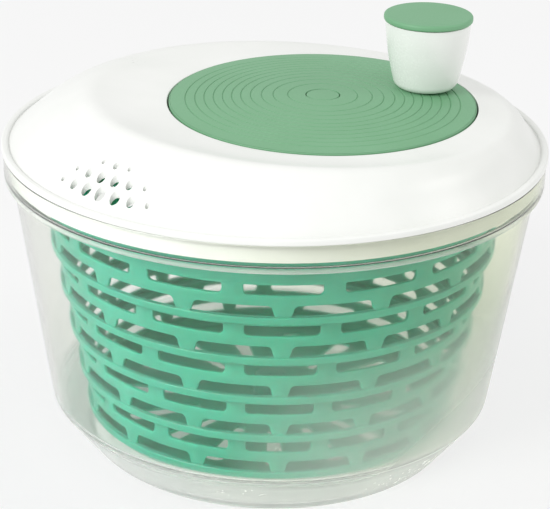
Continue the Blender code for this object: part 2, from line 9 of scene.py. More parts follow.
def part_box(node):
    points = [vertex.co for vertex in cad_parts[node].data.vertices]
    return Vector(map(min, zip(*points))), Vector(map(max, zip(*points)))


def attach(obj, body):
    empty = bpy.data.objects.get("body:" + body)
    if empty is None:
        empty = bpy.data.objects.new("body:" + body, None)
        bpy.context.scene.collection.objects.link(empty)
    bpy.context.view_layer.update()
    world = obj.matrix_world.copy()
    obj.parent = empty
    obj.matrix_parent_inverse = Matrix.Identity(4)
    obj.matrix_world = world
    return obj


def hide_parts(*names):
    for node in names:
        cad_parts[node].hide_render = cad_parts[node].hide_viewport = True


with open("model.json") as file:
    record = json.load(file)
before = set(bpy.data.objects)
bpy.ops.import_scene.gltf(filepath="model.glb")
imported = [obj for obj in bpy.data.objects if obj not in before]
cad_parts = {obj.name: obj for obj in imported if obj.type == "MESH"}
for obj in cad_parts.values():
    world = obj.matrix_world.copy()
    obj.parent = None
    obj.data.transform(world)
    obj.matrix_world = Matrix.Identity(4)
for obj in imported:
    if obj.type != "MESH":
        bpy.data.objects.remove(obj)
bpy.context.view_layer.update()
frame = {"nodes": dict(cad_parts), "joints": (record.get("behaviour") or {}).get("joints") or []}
nodes = frame["nodes"]
mm = 0.001
fineSteps = 192     # divisions around the widest turned pieces

view = bpy.context.scene.view_settings
view.view_transform = "Standard"
view.look = "None"


def jointSpot(name):
    found = [joint for joint in frame["joints"] if joint["name"] == name][0]
    return Vector(found["pos_m"]) / mm


# every size below is in millimetres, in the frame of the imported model
crankSpot = jointSpot("crank_turn")
knobSpot = jointSpot("knob_spin")
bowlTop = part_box("bowl")[1].z / mm
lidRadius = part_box("lid_shell")[1].x / mm
discRadius = (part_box("crank_disc")[1].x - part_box("crank_disc")[0].x) / 2.0 / mm
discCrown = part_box("disc_cap")[1].z / mm
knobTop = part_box("knob_cap")[1].z / mm
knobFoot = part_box("knob_body")[0].z / mm
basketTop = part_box("basket")[1].z / mm
print("frame loaded:", len(nodes), "nodes, bowl", round(bowlTop, 1), "mm tall")


# ---- node and colour helpers
def hexColour(text):
    def linear(value):
        return value / 12.92 if value <= 0.04045 else ((value + 0.055) / 1.055) ** 2.4
    return tuple(linear(int(text[i:i + 2], 16) / 255.0) for i in (1, 3, 5)) + (1.0,)


def addNode(tree, kind, settings=None, links=None):
    # settings: node properties by name, or input values by number or by input name
    node = tree.nodes.new(kind)
    for key, value in (settings or {}).items():
        if isinstance(key, str) and hasattr(node, key):
            setattr(node, key, value)
        else:
            node.inputs[key].default_value = value
    for key, source in (links or {}).items():
        tree.links.new(source, node.inputs[key])
    return node


def newMaterial(name):
    material = bpy.data.materials.new(name)
    material.use_nodes = True
    tree = material.node_tree
    tree.nodes.clear()
    out = tree.nodes.new("ShaderNodeOutputMaterial")
    return material, tree, out


def mottle(tree, coords, size, detail=3.0):
    # noise whose blotches are about size millimetres across
    return addNode(tree, "ShaderNodeTexNoise",
                   {"Scale": 1000.0 / size, "Detail": detail, "Roughness": 0.55},
                   {"Vector": coords})


def ramp(tree, factor, low, high, start=0.3, end=0.7):
    node = addNode(tree, "ShaderNodeMapRange",
                   {1: start, 2: end, 3: low, 4: high}, {0: factor})
    return node.outputs[0]


def blendColour(tree, factor, first, second):
    # first and second are hex colours or colour sockets
    node = addNode(tree, "ShaderNodeMix", {"data_type": "RGBA"}, {0: factor})
    for index, colour in ((6, first), (7, second)):
        if isinstance(colour, str):
            node.inputs[index].default_value = hexColour(colour)
        else:
            tree.links.new(colour, node.inputs[index])
    return node.outputs[2]


def mouldedPlastic(name, light, dark, rough, grain, depth, extra=None):
    # an opaque injection-moulded plastic: slow drift of tone from the melt's flow,
    # a faint spark-eroded grain, and gloss that wanders a little over the surface
    material, tree, out = newMaterial(name)
    coords = addNode(tree, "ShaderNodeTexCoord").outputs["Object"]
    drift = mottle(tree, coords, 45.0)
    fine = mottle(tree, coords, grain, 2.0)
    colour = blendColour(tree, ramp(tree, drift.outputs[0], 0.0, 1.0), dark, light)
    colour = blendColour(tree, ramp(tree, fine.outputs[0], 0.0, 0.10), colour, dark)
    gloss = addNode(tree, "ShaderNodeMath", {"operation": "ADD"},
                    {0: ramp(tree, drift.outputs[0], rough - 0.04, rough + 0.03),
                     1: ramp(tree, fine.outputs[0], -0.03, 0.03)})
    bump = addNode(tree, "ShaderNodeBump", {"Strength": 0.35, "Distance": depth * mm},
                   {"Height": fine.outputs[0]})
    shader = addNode(tree, "ShaderNodeBsdfPrincipled", extra or {},
                     {"Base Color": colour, "Roughness": gloss.outputs[0],
                      "Normal": bump.outputs[0]})
    tree.links.new(shader.outputs[0], out.inputs[0])
    return material


def clearStyrene(name):
    # clear styrene-acrylonitrile, as moulded: a faint green-yellow cast, with a painted reflection
    # that tints it greener towards the +X side, deeper where one looks along the wall, painted
    # highlight lines at the step under the collar and at the corner above the foot, and a paler,
    # rougher haze over the foot and the lower part of the +X side
    material, tree, out = newMaterial(name)
    coords = addNode(tree, "ShaderNodeTexCoord").outputs["Object"]
    spot = addNode(tree, "ShaderNodeSeparateXYZ", {}, {0: coords}).outputs
    drift = mottle(tree, coords, 60.0)

    def product(first, second):
        return addNode(tree, "ShaderNodeMath", {"operation": "MULTIPLY"},
                       {0: first, 1: second}).outputs[0]

    def band(height, reach):
        # 1 at this height in millimetres, 0 beyond reach
        away = addNode(tree, "ShaderNodeMath", {"operation": "SUBTRACT", 1: height * mm},
                       {0: spot[2]})
        size = addNode(tree, "ShaderNodeMath", {"operation": "ABSOLUTE"}, {0: away.outputs[0]})
        return ramp(tree, size.outputs[0], 1.0, 0.0, 0.0, reach * mm)

    # painted reflection: the cast turns greener and yellower towards the +X side, plus slow random
    # drift
    side = addNode(tree, "ShaderNodeMath", {"operation": "ADD"},
                   {0: ramp(tree, spot[0], 0.0, 0.85, -0.06, 0.13),
                    1: ramp(tree, drift.outputs[0], -0.10, 0.15)})
    along = addNode(tree, "ShaderNodeLayerWeight", {"Blend": 0.35}).outputs["Facing"]
    face = blendColour(tree, side.outputs[0], "#FCFDFB", "#F8FBEC")
    rim = blendColour(tree, side.outputs[0], "#E6E8E2", "#E9EED2")
    colour = blendColour(tree, ramp(tree, along, 0.0, 1.0, 0.1, 0.9), face, rim)
    low = ramp(tree, spot[2], 1.0, 0.0, 0.018, 0.030)
    fade = product(ramp(tree, spot[2], 1.0, 0.0, 0.02, 0.10),
                   ramp(tree, spot[0], 0.0, 1.0, 0.0, 0.11))
    haze = addNode(tree, "ShaderNodeMath", {"operation": "MAXIMUM"},
                   {0: product(low, ramp(tree, drift.outputs[0], 0.75, 1.0)), 1: fade}).outputs[0]
    # painted highlight: pale bands at the step under the collar and at the corner where the lower
    # cone meets the wall
    edge = addNode(tree, "ShaderNodeMath", {"operation": "MAXIMUM"},
                   {0: band(bowlTop - 13.2, 1.3), 1: band(24.2, 1.0)}).outputs[0]
    scuff = addNode(tree, "ShaderNodeTexNoise",
                    {"Scale": 260.0, "Detail": 4.0, "Roughness": 0.7, "Distortion": 0.4},
                    {"Vector": coords})
    rough = addNode(tree, "ShaderNodeMath", {"operation": "MULTIPLY_ADD", 1: 0.22},
                    {0: haze, 2: ramp(tree, scuff.outputs[0], 0.03, 0.08, 0.35, 0.75)})
    glass = addNode(tree, "ShaderNodeBsdfPrincipled",
                    {"Transmission Weight": 1.0, "IOR": 1.40, "Specular IOR Level": 0.5},
                    {"Base Color": colour, "Roughness": rough.outputs[0]})
    # pale opaque coat that paints the highlight bands and whitens the haze
    highlightAndHazeCoat = addNode(tree, "ShaderNodeBsdfPrincipled", {"Roughness": 0.4},
                   {"Base Color": blendColour(tree, drift.outputs[0], "#EDF1EE", "#F4F6F2")})
    # how much pale coat shows: the painted highlight bands, and the haze at 0.42
    white = addNode(tree, "ShaderNodeMath", {"operation": "MAXIMUM"},
                    {0: product(edge, ramp(tree, drift.outputs[0], 0.50, 0.62)),
                     1: addNode(tree, "ShaderNodeMath", {"operation": "MULTIPLY", 1: 0.42},
                                {0: haze}).outputs[0]})
    body = addNode(tree, "ShaderNodeMixShader", {},
                   {0: white.outputs[0], 1: glass.outputs[0], 2: highlightAndHazeCoat.outputs[0]})
    # light passes the thin wall nearly unbent, so its shadow is only a tint
    veil = addNode(tree, "ShaderNodeBsdfTransparent", {0: hexColour("#FDFEFC")})
    path = addNode(tree, "ShaderNodeLightPath")
    mix = addNode(tree, "ShaderNodeMixShader", {},
                  {0: path.outputs["Is Shadow Ray"], 1: body.outputs[0], 2: veil.outputs[0]})
    tree.links.new(mix.outputs[0], out.inputs[0])
    return material


def turnedSteel(name):
    # free-machining stainless steel: fine turning lines around the axis
    material, tree, out = newMaterial(name)
    coords = addNode(tree, "ShaderNodeTexCoord").outputs["Object"]
    lines = addNode(tree, "ShaderNodeTexNoise", {"Scale": 900.0, "Detail": 2.0},
                    {"Vector": addNode(tree, "ShaderNodeMapping", {3: (0.05, 0.05, 1.0)},
                                       {0: coords}).outputs[0]})
    colour = blendColour(tree, lines.outputs[0], "#B9BABB", "#D6D5D2")
    shader = addNode(tree, "ShaderNodeBsdfPrincipled", {"Metallic": 1.0},
                     {"Base Color": colour,
                      "Roughness": ramp(tree, lines.outputs[0], 0.22, 0.38)})
    tree.links.new(shader.outputs[0], out.inputs[0])
    return material


# the grains are drawn at about 1 mm, coarser than the real 0.1 mm, so that they show
lidAbs = mouldedPlastic("whiteAbsMoulded", "#F1F2EF", "#EAECE8", 0.34, 1.1, 0.02)
knobAbs = mouldedPlastic("whiteAbsPolished", "#F1F2EF", "#ECEDEA", 0.26, 1.3, 0.01)
discAbs = mouldedPlastic("sageAbsEtched", "#78AC85", "#6FA67C", 0.50, 0.9, 0.05)
basketPp = mouldedPlastic("tealPolypropylene", "#4DB79B", "#43AD90", 0.36, 1.2, 0.03,
                          {"Subsurface Weight": 0.85, "Subsurface Radius": (0.12, 1.0, 0.8),
                           "Subsurface Scale": 0.004})
acetal = mouldedPlastic("naturalAcetal", "#E9E7DC", "#DFDCCD", 0.40, 1.0, 0.02)
steel = turnedSteel("turnedStainless")
bowlSan = clearStyrene("clearStyreneAcrylonitrile")
print("materials made")


# ---- shape helpers
def softLine(points, steps=4):
    # each point is (radius, height, ..., reach): a corner is rounded over reach millimetres on
    # each side, with one extra point past each end so that the flats stay flat
    line = []
    last = len(points) - 1
    for i, point in enumerate(points):
        here = Vector(point[:-1])
        reach = point[-1]
        if reach == 0.0 or i in (0, last):
            line.append(tuple(here))
            continue
        before = Vector(points[i - 1][:-1]) - here
        after = Vector(points[i + 1][:-1]) - here
        back = before / math.hypot(before[0], before[1])
        ahead = after / math.hypot(after[0], after[1])
        start = here + back * reach
        end = here + ahead * reach
        line.append(tuple(here + back * reach * 1.25))
        for k in range(steps + 1):
            t = k / steps
            line.append(tuple(start * (1 - t) ** 2 + here * 2 * t * (1 - t) + end * t * t))
        line.append(tuple(here + ahead * reach * 1.25))
    return line


def joinRings(bm, rings, closed):
    pairs = list(zip(rings, rings[1:]))
    if closed:
        pairs.append((rings[-1], rings[0]))
    for first, second in pairs:
        count = max(len(first), len(second))
        for i in range(count):
            j = (i + 1) % count
            if len(first) == 1:
                bm.faces.new((first[0], second[i], second[j]))
            elif len(second) == 1:
                bm.faces.new((first[i], second[0], first[j]))
            else:
                bm.faces.new((first[i], second[i], second[j], first[j]))


def turnedRings(bm, profile, steps, centre=(0.0, 0.0)):
    rings = []
    for radius, height in profile:
        if radius == 0.0:
            rings.append([bm.verts.new((centre[0] * mm, centre[1] * mm, height * mm))])
            continue
        ring = []
        for i in range(steps):
            angle = 2.0 * math.pi * i / steps
            ring.append(bm.verts.new(((centre[0] + radius * math.cos(angle)) * mm,
                                      (centre[1] + radius * math.sin(angle)) * mm, height * mm)))
        rings.append(ring)
    joinRings(bm, rings, closed=profile[0][0] != 0.0)


def finishPiece(name, bm, material, sharp=38.0):
    bmesh.ops.recalc_face_normals(bm, faces=bm.faces)
    mesh = bpy.data.meshes.new(name)
    bm.to_mesh(mesh)
    bm.free()
    mesh.materials.append(material)
    mesh.polygons.foreach_set("use_smooth", [True] * len(mesh.polygons))
    mesh.set_sharp_from_angle(angle=math.radians(sharp))
    piece = bpy.data.objects.new(name, mesh)
    bpy.context.scene.collection.objects.link(piece)
    return piece


def turnedPiece(name, profile, material, steps=128, centre=(0.0, 0.0)):
    bm = bmesh.new()
    turnedRings(bm, softLine(profile), steps, centre)
    return finishPiece(name, bm, material)


def settle(piece):
    # keep the result of the modifiers as a plain mesh
    graph = bpy.context.evaluated_depsgraph_get()
    graph.update()
    made = bpy.data.meshes.new_from_object(piece.evaluated_get(graph))
    piece.modifiers.clear()
    piece.data = made
    return piece


def carve(piece, tool, kind="DIFFERENCE"):
    modifier = piece.modifiers.new("carve", "BOOLEAN")
    modifier.operation = kind
    modifier.solver = "EXACT"
    modifier.object = tool
    settle(piece)
    bpy.data.objects.remove(tool, do_unlink=True)


def place(piece, body, slot, *replaced):
    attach(piece, body)
    if replaced:
        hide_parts(*replaced)
    return piece


# ---- clear bowl
bowl = {
    "foot": 89.0,          # outer radius of the ring it stands on
    "corner": 108.8,       # radius where the lower cone meets the wall
    "cornerHeight": 24.6,
    "wallTop": 125.5,
    "collar": lidRadius - 0.7,
    "wall": 2.4,
    "collarTall": 12.7,    # from the step under the collar to the top
}


def makeBowl():
    step = bowlTop - bowl["collarTall"]
    thick = bowl["wall"]
    profile = [
        (0.0, 2.0, 0.0),
        (bowl["foot"] - 7.2, 2.0, 0.8),
        (bowl["foot"] - 6.0, 0.0, 0.5),
        (bowl["foot"], 0.0, 0.7),
        (bowl["foot"] + 2.0, 1.6, 0.5),
        (bowl["corner"] - 1.6, bowl["cornerHeight"] - 2.0, 0.9),
        (bowl["corner"], bowl["cornerHeight"], 0.9),
        (bowl["wallTop"], step - 1.0, 1.2),
        (bowl["collar"] - 0.4, step - 0.2, 0.5),
        (bowl["collar"], step + 1.2, 0.5),
        (bowl["collar"], bowlTop, 0.7),
        (bowl["collar"] - thick, bowlTop, 0.7),
        (bowl["collar"] - thick, step + thick, 0.8),
        (bowl["wallTop"] - thick, step + 1.2, 0.8),
        (bowl["corner"] - thick, bowl["cornerHeight"] + 1.2, 1.5),
        (bowl["foot"] + 1.0, 5.2, 3.0),
        (10.5, 4.8, 1.5),
        (8.6, 10.4, 0.6),
        (2.9, 10.4, 0.3),
        (2.9, 4.0, 0.0),
        (0.0, 4.0, 0.0),
    ]
    piece = turnedPiece("clearBowl", profile, bowlSan, steps=fineSteps)
    return place(piece, "bowl", "clear_bowl", "bowl")


makeBowl()
print("bowl made")


# ---- slotted basket
basket = {
    "slots": 15,           # around the basket
    "tiers": 5,
    "tierDrop": 21.65,
    "tierStep": 4.15,      # each tier is this much smaller than the one above
    "topRadius": 107.9,    # wall at the start of the first tier
    "topHeight": 125.6,
    "phase": -75.8,        # middle of a slot in the first row, in degrees
    "wall": 1.8,
    "slotWide": 0.785,     # share of the pitch
    "slotTall": 5.0,
    "flare": 1.1,          # slots of the second row widen downward
    "across": 12,          # divisions of one pitch
    "down": 6,
    "edge": 0.5,           # rounding of the slot edges
    "middling": 101.0,     # radius at which the slot corners come out round
    "chord": 2.2,          # half of the chord that gives the wall's direction
    "floorOuter": 76.0,    # the floor slots lie between these radii
    "floorInner": 34.0,
    "floorHeight": 13.0,
    "floorSlotWide": 0.30,
    "floorPitch": 24.0,
}


def slotContour(left, right, top, bottom, corners, across, down):
    # points around a slot, from its top left corner down and anticlockwise, with the corners
    # at the same numbers as the corners of the cell around it; widths are in millimetres
    def corner(x, y, outX, outY, radius, angle):
        turn = math.radians(angle)
        return (x - outX * radius * (1.0 - math.sin(turn)),
                y - outY * radius * (1.0 - math.cos(turn)))
    topLeft, bottomLeft, bottomRight, topRight = corners
    spots = [(left, top, -1, 1, topLeft), (left, bottom, -1, -1, bottomLeft),
             (right, bottom, 1, -1, bottomRight), (right, top, 1, 1, topRight)]
    contour = []
    for i, count in enumerate((down, across, down, across)):
        x, y, outX, outY, radius = spots[i]
        nx, ny, nextX, nextY, nextRadius = spots[(i + 1) % 4]
        alongY = i % 2 == 0
        leave = [45.0, 67.5, 90.0] if alongY else [45.0, 22.5, 0.0]
        first = [corner(x, y, outX, outY, radius, a) for a in leave]
        arrive = [corner(nx, ny, nextX, nextY, nextRadius, a) for a in reversed(leave)]
        inner = count - 4
        contour += first[:2]
        for k in range(inner + 1):
            t = k / inner
            contour.append((first[2][0] * (1 - t) + arrive[0][0] * t,
                            first[2][1] * (1 - t) + arrive[0][1] * t))
        contour.append(arrive[1])
    return contour


def cellWithSlot(bm, start, top, bottom, slotTop, slotBottom, wide, corners, pitch, flare=0.0):
    # one cell of the sheet, one pitch wide and one wall deep; x is in pitches, y and z in metres
    across = basket["across"]
    down = basket["down"]
    edge = basket["edge"]
    wall = basket["wall"]
    border = []
    for k in range(down):
        border.append((start, top + (bottom - top) * k / down))
    for k in range(across):
        border.append((start + k / across, bottom))
    for k in range(down):
        border.append((start + 1.0, bottom + (top - bottom) * k / down))
    for k in range(across):
        border.append((start + 1.0 - k / across, top))
    half = wide * pitch / 2.0
    loops = [[bm.verts.new((x, y * mm, 0.0)) for x, y in border]]
    for grow, depth in ((edge, 0.0), (edge * 0.3, edge * 0.3), (0.0, edge), (0.0, wall - edge),
                        (edge * 0.3, wall - edge * 0.3), (edge, wall)):
        contour = slotContour(-half - grow, half + grow, slotTop + grow, slotBottom - grow,
                              [c + grow for c in corners], across, down)
        loop = []
        for x, y in contour:
            widen = 1.0 + flare / half * ((slotTop - y) / (slotTop - slotBottom)) ** 2
            loop.append(bm.verts.new((start + 0.5 + x * widen / pitch, y * mm, -depth * mm)))
        loops.append(loop)
    loops.append([bm.verts.new((x, y * mm, -wall * mm)) for x, y in border])
    for outer, inner in zip(loops, loops[1:]):
        for i in range(len(outer)):
            j = (i + 1) % len(outer)
            bm.faces.new((outer[i], outer[j], inner[j], inner[i]))


def plainStrip(bm, start, heights, ends=()):
    # a strip one pitch wide; ends names the heights where the wall is closed off
    across = basket["across"]
    sides = []
    for depth in (0.0, basket["wall"]):
        rows = [[bm.verts.new((start + k / across, y * mm, -depth * mm)) for k in range(across + 1)]
                for y in heights]
        sides.append(rows)
        for upper, lower in zip(rows, rows[1:]):
            for k in range(across):
                bm.faces.new((upper[k], lower[k], lower[k + 1], upper[k + 1]))
    for end in ends:
        outer, inner = sides[0][end], sides[1][end]
        for k in range(across):
            bm.faces.new((outer[k], outer[k + 1], inner[k + 1], inner[k]))


def sheetObject(name, bm):
    bmesh.ops.remove_doubles(bm, verts=bm.verts, dist=1e-6)
    mesh = bpy.data.meshes.new(name)
    bm.to_mesh(mesh)
    bm.free()
    thing = bpy.data.objects.new(name, mesh)
    bpy.context.scene.collection.objects.link(thing)
    return thing


def basketProfile():
    # the basket's outer line from rim to hub, and how far along it each tier starts
    tiers = basket["tiers"]
    rim = basketTop - basket["wall"]
    top = basket["topHeight"]
    wall = basket["topRadius"]
    line = [(wall + 3.0, rim + 0.1, 0.0), (wall + 0.6, rim, 0.6), (wall, top, 0.0)]
    marks = [2]
    for k in range(tiers):
        radius = basket["topRadius"] - k * basket["tierStep"]
        high = basket["topHeight"] - k * basket["tierDrop"]
        line.append((radius - 0.6, high - 17.5, 0.15))
        line.append((radius + 0.1, high - 18.0, 0.3))
        line.append((radius - 0.1, high - 21.2, 0.4))
        if k < tiers - 1:
            line.append((radius - basket["tierStep"], high - basket["tierDrop"], 0.0))
            marks.append(len(line) - 1)
    foot = basket["topRadius"] - (tiers - 1) * basket["tierStep"]
    floor = basket["floorHeight"]
    line.append((foot - 1.6, floor + 4.0, 0.8))
    line.append((foot - 5.0, floor, 2.0))
    line.append((basket["floorOuter"], floor, 0.0))
    marks.append(len(line) - 1)
    line.append((basket["floorInner"], floor, 0.0))
    marks.append(len(line) - 1)
    line.append((6.2, floor, 1.2))
    line.append((6.2, 25.0, 0.6))
    line.append((0.6, 25.0, 0.0))
    smooth = softLine(line, steps=3)
    lengths = [0.0]
    for a, b in zip(smooth, smooth[1:]):
        lengths.append(lengths[-1] + math.dist(a, b))
    starts = []
    for mark in marks:
        target = line[mark][:2]
        nearest = min(range(len(smooth)), key=lambda i: math.dist(smooth[i], target))
        starts.append(lengths[nearest])
    return smooth, lengths, starts


def basketTree(material):
    # copies one tier's sheet down and around, then wraps it on the profile curve
    tree = bpy.data.node_groups.new("wrapSlottedSheet", "GeometryNodeTree")
    face = tree.interface
    face.new_socket("Tier sheet", in_out="INPUT", socket_type="NodeSocketGeometry")
    for name, kind in (("Ends sheet", "NodeSocketObject"), ("Profile", "NodeSocketObject"),
                       ("Slots around", "NodeSocketInt"), ("Tiers", "NodeSocketInt"),
                       ("Tier length", "NodeSocketFloat"), ("Phase", "NodeSocketFloat")):
        face.new_socket(name, in_out="INPUT", socket_type=kind)
    face.new_socket("Basket", in_out="OUTPUT", socket_type="NodeSocketGeometry")
    given = addNode(tree, "NodeGroupInput").outputs
    down = addNode(tree, "ShaderNodeCombineXYZ", {}, {
        1: addNode(tree, "ShaderNodeMath", {"operation": "MULTIPLY", 1: -1.0},
                   {0: given["Tier length"]}).outputs[0]})
    tierLine = addNode(tree, "GeometryNodeMeshLine", {},
                       {"Count": given["Tiers"], "Offset": down.outputs[0]})
    tiers = addNode(tree, "GeometryNodeInstanceOnPoints", {},
                    {"Points": tierLine.outputs[0], "Instance": given["Tier sheet"]})
    ends = addNode(tree, "GeometryNodeObjectInfo", {}, {0: given["Ends sheet"]})
    column = addNode(tree, "GeometryNodeJoinGeometry", {}, {0: tiers.outputs[0]})
    tree.links.new(ends.outputs["Geometry"], column.inputs[0])
    around = addNode(tree, "GeometryNodeMeshLine", {"Offset": (1.0, 0.0, 0.0)},
                     {"Count": given["Slots around"]})
    columns = addNode(tree, "GeometryNodeInstanceOnPoints", {},
                      {"Points": around.outputs[0], "Instance": column.outputs[0]})
    real = addNode(tree, "GeometryNodeRealizeInstances", {}, {0: columns.outputs[0]})
    flat = addNode(tree, "GeometryNodeMergeByDistance", {"Distance": 2e-5},
                   {"Geometry": real.outputs[0]})
    spot = addNode(tree, "ShaderNodeSeparateXYZ", {},
                   {0: addNode(tree, "GeometryNodeInputPosition").outputs[0]}).outputs
    along = addNode(tree, "ShaderNodeMath", {"operation": "MULTIPLY", 1: -1.0}, {0: spot[1]})
    share = addNode(tree, "ShaderNodeMath", {"operation": "DIVIDE"},
                    {0: spot[0], 1: given["Slots around"]})
    angle = addNode(tree, "ShaderNodeMath", {"operation": "MULTIPLY_ADD", 1: 2.0 * math.pi},
                    {0: share.outputs[0], 2: given["Phase"]}).outputs[0]
    shape = addNode(tree, "GeometryNodeObjectInfo", {}, {0: given["Profile"]})

    def onProfile(shift):
        length = addNode(tree, "ShaderNodeMath", {"operation": "ADD", 1: shift},
                         {0: along.outputs[0]})
        sample = addNode(tree, "GeometryNodeSampleCurve", {"mode": "LENGTH"},
                         {"Curves": shape.outputs["Geometry"], "Length": length.outputs[0]})
        return sample.outputs["Position"]

    # the wall's depth runs square to a chord of the profile, so it never folds in a corner
    at = addNode(tree, "ShaderNodeSeparateXYZ", {}, {0: onProfile(0.0)}).outputs
    chord = addNode(tree, "ShaderNodeVectorMath", {"operation": "SUBTRACT"},
                    {0: onProfile(basket["chord"] * mm), 1: onProfile(-basket["chord"] * mm)})
    unit = addNode(tree, "ShaderNodeVectorMath", {"operation": "NORMALIZE"}, {0: chord.outputs[0]})
    way = addNode(tree, "ShaderNodeSeparateXYZ", {}, {0: unit.outputs[0]}).outputs
    out = addNode(tree, "ShaderNodeMath", {"operation": "MULTIPLY", 1: -1.0}, {0: way[2]})
    radius = addNode(tree, "ShaderNodeMath", {"operation": "MULTIPLY_ADD"},
                     {0: spot[2], 1: out.outputs[0], 2: at[0]}).outputs[0]
    height = addNode(tree, "ShaderNodeMath", {"operation": "MULTIPLY_ADD"},
                     {0: spot[2], 1: way[0], 2: at[2]}).outputs[0]
    cosine = addNode(tree, "ShaderNodeMath", {"operation": "COSINE"}, {0: angle})
    sine = addNode(tree, "ShaderNodeMath", {"operation": "SINE"}, {0: angle})
    x = addNode(tree, "ShaderNodeMath", {"operation": "MULTIPLY"},
                {0: radius, 1: cosine.outputs[0]})
    y = addNode(tree, "ShaderNodeMath", {"operation": "MULTIPLY"},
                {0: radius, 1: sine.outputs[0]})
    wrapped = addNode(tree, "ShaderNodeCombineXYZ", {},
                      {0: x.outputs[0], 1: y.outputs[0], 2: height})
    moved = addNode(tree, "GeometryNodeSetPosition", {},
                    {"Geometry": flat.outputs[0], "Position": wrapped.outputs[0]})
    seam = addNode(tree, "GeometryNodeMergeByDistance", {"Distance": 2e-5},
                   {"Geometry": moved.outputs[0]})
    whole = addNode(tree, "GeometryNodeRealizeInstances", {}, {0: seam.outputs[0]})
    painted = addNode(tree, "GeometryNodeSetMaterial", {"Material": material},
                      {"Geometry": whole.outputs[0]})
    addNode(tree, "NodeGroupOutput", {}, {0: painted.outputs[0]})
    return tree


def setInputs(modifier, values):
    sockets = {item.name: item.identifier for item in modifier.node_group.interface.items_tree
               if item.in_out == "INPUT"}
    for name, value in values.items():
        modifier[sockets[name]] = value


def makeBasket():
    smooth, lengths, starts = basketProfile()
    pitch = 2.0 * math.pi * basket["middling"] / basket["slots"]
    wide = basket["slotWide"]
    tall = basket["slotTall"]
    tierLength = starts[1] - starts[0]
    bm = bmesh.new()
    cellWithSlot(bm, -0.5, -0.6, -9.6, -2.3, -2.3 - tall, wide, [0.6, 2.1, 2.1, 0.6], pitch)
    cellWithSlot(bm, 0.0, -9.6, -17.6, -12.4, -12.4 - tall, wide, [2.1, 0.2, 0.2, 2.1], pitch,
                 basket["flare"])
    plainStrip(bm, -0.5, [0.0, -0.6])
    first = [length for length in lengths if starts[0] + 17.0 < length < starts[1] - 0.01]
    plainStrip(bm, -0.5, [-17.6] + [starts[0] - length for length in first
                                    if length - starts[0] > 17.65] + [-tierLength])
    tier = sheetObject("slottedBasket", bm)
    tier.data.transform(Matrix.Translation((0.0, -starts[0] * mm, 0.0)))

    # rim above the tiers, and below them the floor with one long slot for each pitch
    bm = bmesh.new()
    upper = [-length for length in lengths if length < starts[0] - 0.01]
    plainStrip(bm, -0.5, upper + [-starts[0]], ends=(0,))
    low = starts[basket["tiers"] - 1] + tierLength
    floorOuter, floorInner = starts[basket["tiers"]:]
    bend = [-length for length in lengths if low + 0.05 < length < floorOuter - 0.05]
    plainStrip(bm, -0.5, [-low] + bend + [-floorOuter])
    cellWithSlot(bm, -0.5, -floorOuter, -floorInner, -floorOuter - 3.0, -floorInner + 3.0,
                 basket["floorSlotWide"], [3.0, 1.6, 1.6, 3.0], basket["floorPitch"])
    middle = [-length for length in lengths if length > floorInner + 0.01]
    plainStrip(bm, -0.5, [-floorInner] + middle, ends=(-1,))
    ends = sheetObject("basketEnds", bm)

    curve = bpy.data.curves.new("basketProfile", "CURVE")
    curve.dimensions = "3D"
    spline = curve.splines.new("POLY")
    spline.points.add(len(smooth) - 1)
    for point, (radius, height) in zip(spline.points, smooth):
        point.co = (radius * mm, 0.0, height * mm, 1.0)
    profile = bpy.data.objects.new("basketProfile", curve)
    bpy.context.scene.collection.objects.link(profile)

    modifier = tier.modifiers.new("wrap", "NODES")
    modifier.node_group = basketTree(basketPp)
    setInputs(modifier, {"Ends sheet": ends, "Profile": profile,
                         "Slots around": basket["slots"], "Tiers": basket["tiers"],
                         "Tier length": tierLength * mm,
                         "Phase": math.radians(basket["phase"])})
    settle(tier)
    for helper in (ends, profile):
        bpy.data.objects.remove(helper, do_unlink=True)
    bm = bmesh.new()
    bm.from_mesh(tier.data)
    bmesh.ops.recalc_face_normals(bm, faces=bm.faces)
    bm.to_mesh(tier.data)
    bm.free()
    mesh = tier.data
    mesh.polygons.foreach_set("use_smooth", [True] * len(mesh.polygons))
    mesh.set_sharp_from_angle(angle=math.radians(42.0))
    return place(tier, "basket", "basket_teal", "basket")


basketPiece = makeBasket()
print("basket made:", len(basketPiece.data.polygons), "faces")


# ---- lid
lid = {
    "thick": 2.2,
    "crestRadius": lidRadius - 29.5,
    "tiltX": 0.036,        # the crest leans: highest towards the drain holes
    "tiltY": 0.039,
    "recess": discRadius + 0.8,
}


def lidRing(bm, radius, height, shift, tilt):
    ring = []
    for i in range(fineSteps):
        angle = 2.0 * math.pi * i / fineSteps
        lean = lid["tiltX"] * math.cos(angle) + lid["tiltY"] * math.sin(angle)
        lift = -lid["crestRadius"] * lean
        ring.append(bm.verts.new(((shift + radius * math.cos(angle)) * mm,
                                  radius * math.sin(angle) * mm,
                                  (height + tilt * lift) * mm)))
    return ring


